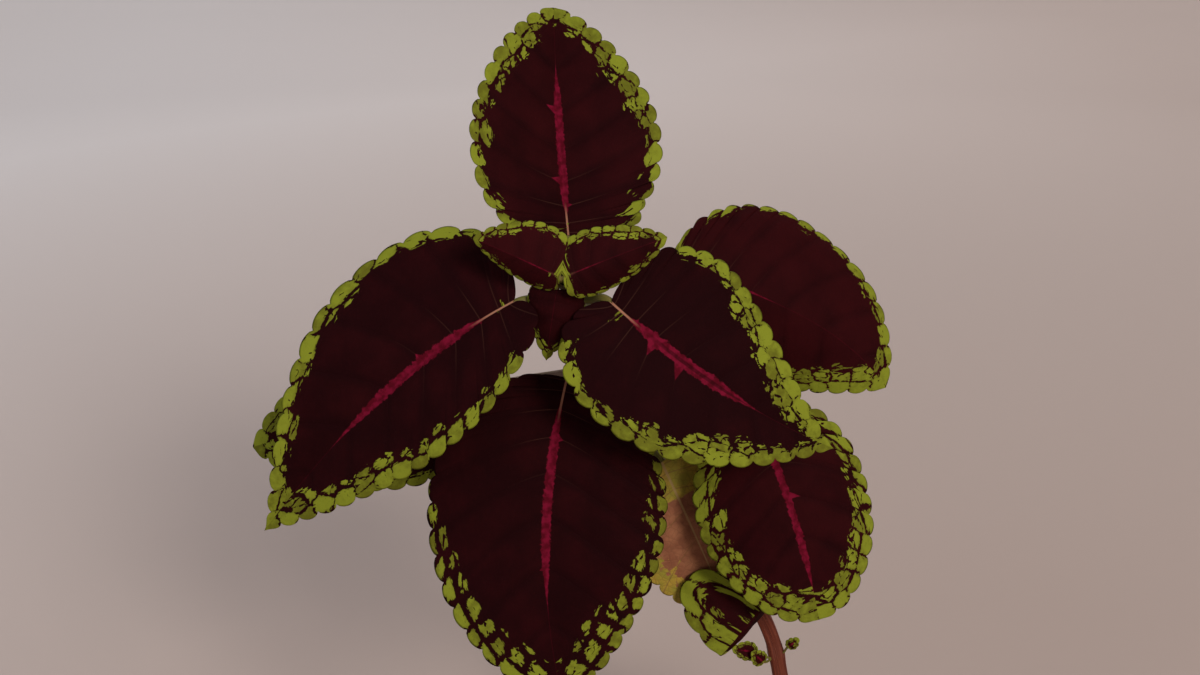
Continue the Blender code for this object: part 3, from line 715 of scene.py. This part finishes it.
def maroon_leaf():
    """The face of a leaf: maroon velvet, lime blobs along the margin and a crimson streak, with painted
    shade along the veins and painted light on the puffs between them.
    """
    finish = LeafFinish("maroon leaf", 0.02)
    spot, share, vein, streak = finish.spot, finish.share, finish.vein, finish.streak
    away = abs(finish.y)
    cloud = finish.noise(spot, 14.0, 3.0)
    # Painted shade and light on the quilting: the blade is painted darker along the veins and lighter on
    # the puffs between them.
    quilt_painted_shade = vein.step(0.2, 3.0) * 0.22 - 0.13
    lamina = finish.mix((finish.red + (cloud - 0.5) * 1.2 + quilt_painted_shade).step(0.0, 1.2), MAROON, WINE)
    thin = vein.step(0.24, 0.08) * share.step(0.42, 0.08) * away.step(18.0, 4.0)
    lamina = finish.mix(thin * 0.07 * finish.pale, lamina, PALE)

    vein_number = {"Vector": finish.join(finish.nearest, finish.side)}
    luck = finish.add("TexWhiteNoise", vein_number, noise_dimensions="2D")
    ragged = (finish.noise(spot, 1.8, 3.0) - 0.5) * 1.5
    thorn = streak * 1.4 - vein * 1.1 - away / (0.3 + luck ** 3.0 * 2.2)
    inside = finish.math("MAXIMUM", streak * (1.0 + ragged) - away, thorn)
    crimson = finish.mix(finish.noise(spot, 2.5).step(0.35, 0.65), CRIMSON, ROSE)
    core = finish.core * (streak * 0.35 - away).step(-0.1, 0.25) * share.step(0.1, 0.3)
    colour = finish.mix(inside.step(-0.15, 0.25), lamina, finish.mix(core, crimson, MAROON))
    line = (0.42 - away).step(-0.08, 0.14)
    colour = finish.mix(line * share.step(0.14, 0.05) * finish.pale, colour, PALE)

    blobs, inner, pick = lime_blobs(finish, finish.limit, finish.gap)
    green = finish.mix((pick * 0.6 + finish.noise(spot, 3.0, 3.0)).step(0.4, 1.0), OLIVE, LIME)
    green = finish.mix(inner.step(0.14, 0.0) * 0.45, green, OLIVE)
    colour = finish.mix(blobs, colour, green)
    velvet = finish.noise(spot, 0.35)
    height = finish.net.step(0.0, 0.25) * 0.03 + velvet * 0.04 + blobs * 0.05 - vein.step(0.5, 0.0) * 0.05
    return finish.finish(colour, 0.6 + velvet * 0.25, height)


MAUVE = ((0.075, 0.016, 0.024), (0.13, 0.042, 0.042))
DULL_LIME = ((0.14, 0.17, 0.03), (0.19, 0.225, 0.045))
RIB_TAN = (0.26, 0.17, 0.11)


def leaf_underside():
    """The back of a leaf: dull mauve with a dull lime margin and pale raised veins."""
    finish = LeafFinish("leaf underside", 0.15, 50.0)
    cloud = finish.noise(finish.spot, 9.0, 3.0)
    blobs = lime_blobs(finish, finish.limit + 0.3, 0.05)[0]
    blotch = cloud.step(0.3, 0.7)
    colour = finish.mix(blobs, finish.mix(blotch, *MAUVE), finish.mix(blotch, *DULL_LIME))
    ribs = finish.vein.step(0.55, 0.15) * 0.75 + finish.net.step(0.07, 0.0) * 0.35
    colour = finish.mix(ribs.step(0.0, 1.2), colour, RIB_TAN)
    height = finish.net.step(0.12, 0.0) * 0.08 + finish.vein.step(0.7, 0.0) * 0.12
    return finish.finish(colour, 0.62 + cloud * 0.15, height + finish.noise(finish.spot, 0.4) * 0.05)


MAUVE_BROWN = ((0.185, 0.068, 0.035), (0.26, 0.108, 0.054))
OCHRE = ((0.31, 0.205, 0.03), (0.22, 0.19, 0.025))
VEIN_BROWN = (0.17, 0.085, 0.032)
NET_BROWN = (0.07, 0.032, 0.016)
MIDRIB_OCHRE = (0.29, 0.19, 0.08)


def yellowing_leaf():
    """An old leaf: brown mauve in the middle, ochre to olive at the margin, veins browned."""
    finish = LeafFinish("yellowing leaf", 0.1)
    spot, share, vein = finish.spot, finish.share, finish.vein
    cloud = finish.noise(spot, 8.0, 4.0, 0.6)
    blotch = cloud.step(0.35, 0.65)
    edge = finish.depth + (finish.noise(spot, 3.5, 4.0, 0.6) - 0.5) * 4.0 - vein.step(1.5, 0.0) * 0.8
    edge = edge * share.step(0.14, 0.26)
    colour = finish.mix(edge.step(1.9, 2.3), finish.mix(blotch, *OCHRE), finish.mix(blotch, *MAUVE_BROWN))
    colour = finish.mix(vein.step(0.35, 0.1) * 0.6, colour, VEIN_BROWN)
    colour = finish.mix(finish.net.step(0.08, 0.0) * 0.25, colour, NET_BROWN)
    line = (0.6 - share * 0.5 - abs(finish.y)).step(-0.1, 0.2)
    colour = finish.mix(line * 0.8, colour, MIDRIB_OCHRE)
    height = finish.net.step(0.0, 0.25) * 0.10 + cloud * 0.15 - vein.step(0.5, 0.0) * 0.08
    return finish.finish(colour, 0.55 + cloud * 0.25, height)


STALK_GREEN = ((0.085, 0.085, 0.012), (0.14, 0.11, 0.028))
BLUSH = (0.15, 0.07, 0.045)
STALK_TAN = (0.38, 0.27, 0.21)


def stalk_skin():
    """Leaf stalks: yellow green to tan, with long fibres and a reddish blush."""
    finish = Finish("stalk skin", 0.15)
    place = finish.place()
    along, around, share = finish.split(finish.attribute("flat"))
    fibre = finish.noise(finish.join(along * 0.08, around * 1.4), 1.0, 3.0)
    blush = (finish.noise(place, 12.0) + share * 0.4).step(0.6, 0.95)
    tan = finish.split(finish.attribute("tone"))[0] * fibre.step(0.1, 0.6)
    colour = finish.mix(blush, finish.mix(fibre.step(0.35, 0.7), *STALK_GREEN), BLUSH)
    colour = finish.mix(tan, colour, STALK_TAN)
    return finish.finish(colour, 0.45 + fibre * 0.2, fibre * 0.12 + finish.noise(place, 0.5) * 0.05)


FACE, BACK, YELLOW, STALK = maroon_leaf(), leaf_underside(), yellowing_leaf(), stalk_skin()
print("leaf finishes:", FACE.name, BACK.name, YELLOW.name, STALK.name)

# %% Leaf pieces
for number, leaf in enumerate(LEAVES):
    yellow = leaf.name == "yellowing_leaf"
    make_piece(f"{leaf.name}_live", [blade_part(leaf, number), (stalk_rings(leaf), 2)],
               [YELLOW if yellow else FACE, BACK, STALK], [leaf.name])

# %% [markdown]
# ## Stem
#
# A coleus stem is square with soft corners, like that of all mints, and swells at each leaf
# joint. It is brown red low down, where it turns woody, and greener at the tip. The rings
# follow a smooth curve through the joints; a superellipse gives the square section.

# %% Stem
SOIL_TOP = 91.0
PLANTING_DEPTH = 32.0
FOOT_HALF = 3.5
STEM_STEPS, STEM_COLUMNS = 26, 40
STEM_BROWN = ((0.068, 0.0115, 0.005), (0.125, 0.027, 0.012))
STEM_GREEN = (0.075, 0.07, 0.014)
STEM_FLECK = (0.15, 0.065, 0.035)


def smooth_route(knots, steps):
    """A smooth path through knots: each stretch leaves a knot along its neighbours' line."""
    before, start, end = knots[:-2], knots[1:-1], knots[2:]
    after = np.concatenate([knots[3:], knots[-1:]])
    span = np.linalg.norm(end - start, axis=1, keepdims=True)
    leave, arrive = unit(end - before) * span, unit(after - start) * span
    t = np.linspace(0.0, 1.0, steps, endpoint=False)[:, None, None]
    path = cubic(start, leave, end, arrive, t)
    return np.concatenate([path.transpose(1, 0, 2).reshape(-1, 3), knots[-1:]])


def stem_rings():
    """Rings of the stem: a superellipse section, swollen at each joint and closed at the ends."""
    foot = np.array([[0.0, 0.0, SOIL_TOP - PLANTING_DEPTH], [0.0, 0.0, SOIL_TOP]])
    knots = np.concatenate([foot, JOINTS])
    path = np.concatenate([foot[:1], smooth_route(knots, STEM_STEPS)])
    halves = [FOOT_HALF] + JOINT_HALVES
    half = np.interp(np.arange(len(path) - 1) / STEM_STEPS, np.arange(len(halves)), halves)
    half = np.concatenate([half[:1], half])
    near = np.linalg.norm(path[:, None] - JOINTS, axis=-1).min(1)
    half = half * (1.0 + 0.14 * np.exp(-(near / 3.0) ** 2) - 0.05 * np.exp(-((near - 1.2) / 0.5) ** 2))
    half[[0, -1]] = 0.0
    angle = even_angles(STEM_COLUMNS)
    square = (np.cos(angle) ** 4 + np.sin(angle) ** 4) ** -0.25
    square = square * (1.0 - 0.03 * (1.0 + np.cos(4.0 * angle)))
    return tube_rings(path, half, (1, 0, 0), square)


def stem_skin():
    """Stem skin: brown red with long paler fibres and flecks, greener towards the tip."""
    finish = Finish("stem skin", 0.2)
    place = finish.place()
    along, around, share = finish.split(finish.attribute("flat"))
    fibre = finish.noise(finish.join(along * 0.05, around), 0.8, 3.0)
    green = (share * 0.9 + finish.noise(place, 9.0, 3.0) * 0.7).step(0.85, 1.25)
    colour = finish.mix(green, finish.mix(fibre.step(0.3, 0.7), *STEM_BROWN), STEM_GREEN)
    fleck = finish.cells(finish.join(along * 0.45, around), 1.5)
    colour = finish.mix(fleck.step(0.16, 0.08) * 0.4, colour, STEM_FLECK)
    height = fibre * 0.2 + fleck.step(0.2, 0.05) * 0.08 + finish.noise(place, 0.4) * 0.04
    return finish.finish(colour, 0.42 + fibre * 0.25, height)


make_piece("stem_live", [(stem_rings(), 0)], [stem_skin()], ["stem"])

# %% [markdown]
# ## Side shoots and the tip bud
#
# New shoots start in the angle between a leaf and the stem. They are the same leaves, only
# tiny. The bud at the tip is the next pair, still folded together, so it is a little egg
# with a seam down its middle.

# %% Shoots
FIRST_SHOOT_NUMBER = 20
SHOOT = dict(wave=0.0, tooth=0.5, petiole=0.5, streak=(0.4, 0.7),
             lime=((1, 1.2, 1.2, 1.5, 1.5, 1.5),) * 2, row_depth=1.0, red=1.0)
SHOOTS = {
    "side_shoot_left": [
        Leaf("first", 8, (-17, 4, 154), (-28, 2, 157), 8, teeth=5, **SHOOT),
        Leaf("second", 8, (-14, 4, 149), (-20, 0, 157), 7, teeth=5, **SHOOT),
    ],
    "side_shoot_right": [
        Leaf("first", 8, (-4, 6, 155), (0, 4, 161), 5, teeth=4, **SHOOT),
    ],
}
for number, (name, leaves) in enumerate(SHOOTS.items()):
    parts = []
    for order, leaf in enumerate(leaves):
        parts += [blade_part(leaf, FIRST_SHOOT_NUMBER + 2 * number + order), (stalk_rings(leaf), 2)]
    make_piece(f"{name}_live", parts, [FACE, BACK, STALK], [name])

# %% Tip bud
BUD_LENGTH, BUD_SUNK, BUD_HALF = 4.2, 0.2, 1.25
BUD_GREEN = ((0.10, 0.115, 0.018), (0.19, 0.19, 0.05))


def bud_rings():
    """An egg along the stem's direction: two lobes with a seam, and a pointed tip."""
    joint, _, axis = stem_axis(1)
    t = np.linspace(0.0, 1.0, 20)
    path = joint + axis * (BUD_LENGTH * t - BUD_SUNK)[:, None]
    radius = BUD_HALF * np.sqrt(np.clip(np.sin(math.pi * t ** 0.85), 0.0, 1.0))
    seam = 1.0 - 0.25 * np.abs(np.cos(even_angles(28))) ** 8
    return tube_rings(path, radius, (1, 0, 0), seam)


def bud_green():
    """The bud's skin: yellow green with paler down."""
    finish = Finish("bud green", 0.15)
    down = finish.noise(finish.place(), 0.5, 3.0)
    colour = finish.mix(down.step(0.35, 0.7), *BUD_GREEN)
    return finish.finish(colour, 0.6 + down * 0.2, down * 0.2)


make_piece("tip_bud_live", [(bud_rings(), 0)], [bud_green()], ["tip_bud"])

# %% [markdown]
# ## Peat
#
# Potting peat is a dark crumbly mound with lumps and a few white grains of perlite. The
# mound is one skin with ripples, and the lumps are small balls pushed out of round, sunk
# halfway into it.

# %% Peat mound
SOIL_EDGE_RADIUS = 51.0
SOIL_EDGE_HEIGHT = 85.0
SOIL_FLOOR, SOIL_FLOOR_RADIUS = 5.5, 39.5
SOIL_COLUMNS = 220
RIPPLE_LENGTHS = (23, 17, 11, 9, 7, 5, 4, 3.1, 2.6, 2.2)
LUMP_RADII = (6.0, 48.5)
PEAT_BROWN = ((0.012, 0.007, 0.005), (0.075, 0.042, 0.024))
PEAT_CHIP = (0.15, 0.075, 0.035)
PERLITE_WHITE = ((0.5, 0.46, 0.4), (0.78, 0.76, 0.72))


def ripples(x, y):
    """A sum of waves with random directions: the ground's unevenness, between about -1 and 1."""
    picker = np.random.default_rng(3)
    total = np.zeros_like(x)
    for length in RIPPLE_LENGTHS:
        turn, phase = picker.uniform(0.0, 2.0 * math.pi, 2)
        total += np.sin((x * np.cos(turn) + y * np.sin(turn)) * 2.0 * math.pi / length + phase)
    return total / len(RIPPLE_LENGTHS)


def ground(x, y):
    """Height of the peat: a low mound, highest at the stem, with ripples."""
    share = np.minimum(np.hypot(x, y) / SOIL_EDGE_RADIUS, 1.0)
    mound = SOIL_EDGE_HEIGHT + (SOIL_TOP - SOIL_EDGE_HEIGHT) * (1.0 - share ** 2)
    return mound + 1.6 * ripples(x, y) - 0.8


def soil_rings():
    """Rings of the peat: out over its floor, up to the edge of its top and in over its top."""
    top = turned(np.linspace(0.0, SOIL_EDGE_RADIUS, 70), np.zeros(70), SOIL_COLUMNS)
    top[..., 2] = ground(top[..., 0], top[..., 1])
    low = turned(np.linspace(0.0, SOIL_FLOOR_RADIUS, 8), np.full(8, SOIL_FLOOR), SOIL_COLUMNS)
    return np.concatenate([low, top[::-1]])


def lumps(count, smallest, largest, seed):
    """Balls pushed out of round, spread evenly over the mound and half sunk in it."""
    picker = np.random.default_rng(seed)
    down = np.linspace(math.pi, 0.0, 7)
    ball = turned(np.sin(down), np.cos(down), 9)
    inner, outer = LUMP_RADII
    parts = []
    for size in smallest * (largest / smallest) ** picker.random(count):
        radius = np.sqrt(picker.uniform(inner ** 2, outer ** 2))
        angle = picker.uniform(0.0, 2.0 * math.pi)
        x, y = radius * np.cos(angle), radius * np.sin(angle)
        uneven = 1.0 + 0.22 * np.sin(ball @ picker.normal(0.0, 3.0, 3) + picker.uniform(0.0, 6.0))
        shape = ball * uneven[..., None] * picker.uniform(0.7, 1.3, 3) * size
        shape = shape + np.array([x, y, ground(np.array(x), np.array(y)) + 0.25 * size])
        parts.append((shape, 0))
    return parts


def peat():
    """Peat: near black brown with paler grains and chips."""
    finish = Finish("peat", 0.25)
    place = finish.place()
    grain = finish.noise(place, 1.1, 5.0, 0.65)
    pick = finish.split(finish.cells(place, 2.4).out("Color"))[0]
    colour = finish.mix(grain.step(0.35, 0.7), *PEAT_BROWN)
    colour = finish.mix(pick.step(0.82, 0.9) * 0.5, colour, PEAT_CHIP)
    return finish.finish(colour, 0.85 + grain * 0.12, grain * 0.9)


def perlite():
    """Perlite: chalky white grains with pores."""
    finish = Finish("perlite", 0.3)
    pores = finish.cells(finish.place(), 0.5)
    colour = finish.mix(pores.step(0.1, 0.5), *PERLITE_WHITE)
    return finish.finish(colour, 0.8 + pores * 0.1, pores * 0.25)


PEAT = peat()
make_piece("peat_mound", [(soil_rings(), 0)], [PEAT], ["soil"])
make_piece("peat_lumps", lumps(620, 0.7, 2.6, seed=11), [PEAT], [])
make_piece("perlite_grains", lumps(46, 0.6, 1.3, seed=12), [perlite()], [])

# %% [markdown]
# ## Clay pot
#
# The pot is a plain clay one: a tapered wall, a stepped rim and four drain holes. Its
# profile is turned about its axis with rounded edges, and the holes are drilled with a
# Boolean. Clay that has been watered shows a chalky bloom and fine turning rings.

# %% Pot
POT_PROFILE = [
    (0.0, 0.0), (24.0, 0.0), (40.5, 0.0), (41.4, 0.3), (42.1, 1.2), (48.0, 38.0), (54.3, 78.6),
    (54.5, 80.0), (55.2, 80.2), (57.4, 80.3), (58.3, 80.8), (58.6, 81.8), (59.3, 90.0),
    (59.9, 98.4), (59.6, 99.5), (58.6, 100.0), (55.6, 100.0), (54.6, 99.6), (54.1, 98.6),
    (52.0, 84.0), (45.0, 40.0), (39.4, 8.0), (38.6, 5.6), (37.5, 5.0), (24.0, 5.0), (0.0, 5.0),
]
POT_COLUMNS = 160
DRAIN_HOLES, DRAIN_RADIUS, DRAIN_CIRCLE, DRAIN_CUT = 4, 4.0, 24.0, 24.0
CLAY = ((0.42, 0.155, 0.075), (0.55, 0.235, 0.125))
CLAY_SPECK = (0.24, 0.085, 0.045)
CLAY_BLOOM = (0.66, 0.52, 0.43)
CLAY_DAMP = (0.20, 0.08, 0.045)


def pot_rings():
    """The profile turned about Z, with points filled in between its corners."""
    corners = np.array(POT_PROFILE)
    walked = walked_along(corners)
    s = np.unique(np.concatenate([walked, np.linspace(0.0, walked[-1], 90)]))
    radius, height = np.interp(s, walked, corners[:, 0]), np.interp(s, walked, corners[:, 1])
    return turned(radius, height, POT_COLUMNS)


def drill(item):
    """Cut the drain holes through an object: Boolean them out and keep the resulting mesh."""
    work = bmesh.new()
    for number in range(DRAIN_HOLES):
        turn = 2.0 * math.pi * (number + 0.5) / DRAIN_HOLES
        x, y = DRAIN_CIRCLE * math.cos(turn), DRAIN_CIRCLE * math.sin(turn)
        made = bmesh.ops.create_cone(work, cap_ends=True, segments=32, radius1=DRAIN_RADIUS * MM,
                                     radius2=DRAIN_RADIUS * MM, depth=DRAIN_CUT * MM)
        bmesh.ops.translate(work, verts=made["verts"], vec=(x * MM, y * MM, 0.0))
    mesh = bpy.data.meshes.new("drill")
    work.to_mesh(mesh)
    work.free()
    tool = add_object("drill", mesh)
    cut = item.modifiers.new("holes", "BOOLEAN")
    cut.operation = "DIFFERENCE"
    cut.object = tool
    bpy.context.view_layer.update()
    graph = bpy.context.evaluated_depsgraph_get()
    drilled = bpy.data.meshes.new_from_object(item.evaluated_get(graph))
    item.modifiers.clear()
    item.data = drilled
    bpy.data.objects.remove(tool, do_unlink=True)
    print(f"{item.name}: {len(drilled.polygons)} faces after drilling")


def fired_clay():
    """Clay: warm orange brown with grog, a chalky bloom low down and on the rim, and rings."""
    finish = Finish("fired clay", 0.25)
    place = finish.place()
    z = finish.split(place)[2]
    grit = finish.noise(place, 0.8, 3.0)
    colour = finish.mix(finish.noise(place, 22.0, 4.0).step(0.3, 0.7), *CLAY)
    speck = finish.cells(place, 2.1)
    colour = finish.mix(speck.step(0.2, 0.12) * 0.5, colour, CLAY_SPECK)
    chalk = finish.noise(place, 11.0, 5.0, 0.6)
    ends = z.step(34.0, 2.0) * 0.16 + z.step(84.0, 99.0) * 0.09
    colour = finish.mix((chalk + ends).step(0.58, 0.8) * 0.55, colour, CLAY_BLOOM)
    colour = finish.mix(z.step(14.0, 3.0) * 0.35, colour, CLAY_DAMP)
    rings = finish.noise(finish.join(0.0, 0.0, z), 1.5)
    return finish.finish(colour, 0.78 + grit * 0.15, rings * 0.22 + grit * 0.18)


pot = make_piece("pot_live", [(pot_rings(), 0)], [fired_clay()], ["pot"])
drill(pot)

# %% [markdown]
# ## Studio
#
# The plant was photographed in front of a plain warm grey wall. A wall would hide the plant from behind,
# so the floor is a wide flat dish that rises far away, in the wall's colour. Its paint carries painted
# light and shade. Painted shade makes it darker near the plant. Far from the plant, the left is painted
# lighter and cooler and the right warmer and darker.

# %% Floor
DISH = [(0.0, 0.0), (1.2, 0.0), (2.6, 0.0), (3.2, 0.12), (3.8, 0.5), (4.3, 1.1), (4.6, 2.0), (4.7, 4.0)]
DISH_COLUMNS = 96
# Painted shade near the plant, and painted light far away: lighter and cooler on the left, warmer and
# darker on the right.
NEAR_PAINTED_SHADE = (0.385, 0.31, 0.28)
FAR_LEFT_PAINTED_LIGHT = (0.70, 0.675, 0.68)
FAR_RIGHT_PAINTED_LIGHT = (0.60, 0.515, 0.48)


def studio_floor():
    """The dish: a profile in metres turned about Z, open at the top."""
    rings = turned(*np.array(DISH).T, DISH_COLUMNS)
    index = np.arange(len(DISH) * DISH_COLUMNS).reshape(-1, DISH_COLUMNS)
    after = np.roll(index, -1, 1)
    quads = np.stack([index[:-1], index[1:], after[1:], after[:-1]], -1)
    mesh = bpy.data.meshes.new("studio_floor")
    mesh.from_pydata(rings.reshape(-1, 3), [], quads.reshape(-1, 4).tolist())
    work = bmesh.new()
    work.from_mesh(mesh)
    bmesh.ops.remove_doubles(work, verts=work.verts, dist=0.0001)
    work.to_mesh(mesh)
    work.free()
    mesh.shade_smooth()
    finish = Finish("backdrop with painted light and shade", 0.2)
    x, y, _ = finish.split(finish.place())
    # Painted shade and light: the paint is darker near the plant and lighter far away, lighter and cooler
    # on the left and warmer and darker on the right.
    far = ((x * x + y * y) ** 0.5 - x * 0.5 - 250.0) / 2350.0
    distant_painted_light = finish.mix(0.5 + x / 2400.0, FAR_LEFT_PAINTED_LIGHT, FAR_RIGHT_PAINTED_LIGHT)
    mesh.materials.append(finish.finish(finish.mix(far, NEAR_PAINTED_SHADE, distant_painted_light), 0.9))
    return add_object("studio_floor", mesh)


studio_floor()

# %% [markdown]
# ## Light and camera
#
# One large soft light stands high on the right and a weaker one on the left, so the leaves
# have soft shade on their left sides. A third lights the back. The camera looks down on the
# plant by 20 degrees.

# %% Light and camera
TARGET = Vector((-0.08, -0.02, 0.27))
CAMERA_PLACE = (-0.0832, -0.4515, 0.4607)
CAMERA_TILT = 20.0
CAMERA_LENS = 38.0
SKY = (0.96, 0.96, 1.0, 1.0)
SKY_STRENGTH = 0.45


def area_light(name, place, size, power, colour):
    """A square soft light that faces the plant."""
    data = bpy.data.lights.new(name, "AREA")
    data.size = size
    data.energy = power
    data.color = colour
    item = add_object(name, data)
    item.location = place
    item.rotation_mode = "QUATERNION"
    item.rotation_quaternion = (TARGET - Vector(place)).to_track_quat("-Z", "Y")


area_light("key_light", (1.3, -2.6, 1.9), 0.9, 95.0, (1.0, 0.93, 0.86))
area_light("fill_light", (-2.2, -1.2, 1.6), 1.8, 16.0, (0.92, 0.95, 1.0))
area_light("back_light", (0.4, 2.4, 2.2), 1.8, 20.0, (1.0, 0.97, 0.94))

world = bpy.data.worlds.new("studio")
world.use_nodes = True
backdrop = world.node_tree.nodes["Background"]
backdrop.inputs["Color"].default_value = SKY
backdrop.inputs["Strength"].default_value = SKY_STRENGTH
bpy.context.scene.world = world

lens = bpy.data.cameras.new("camera")
lens.lens = CAMERA_LENS
lens.clip_start = 0.01
camera = add_object("camera", lens)
camera.location = CAMERA_PLACE
camera.rotation_euler = (math.radians(90.0 - CAMERA_TILT), 0.0, 0.0)
bpy.context.scene.camera = camera
bpy.context.scene.view_settings.view_transform = "Standard"

bpy.context.view_layer.update()
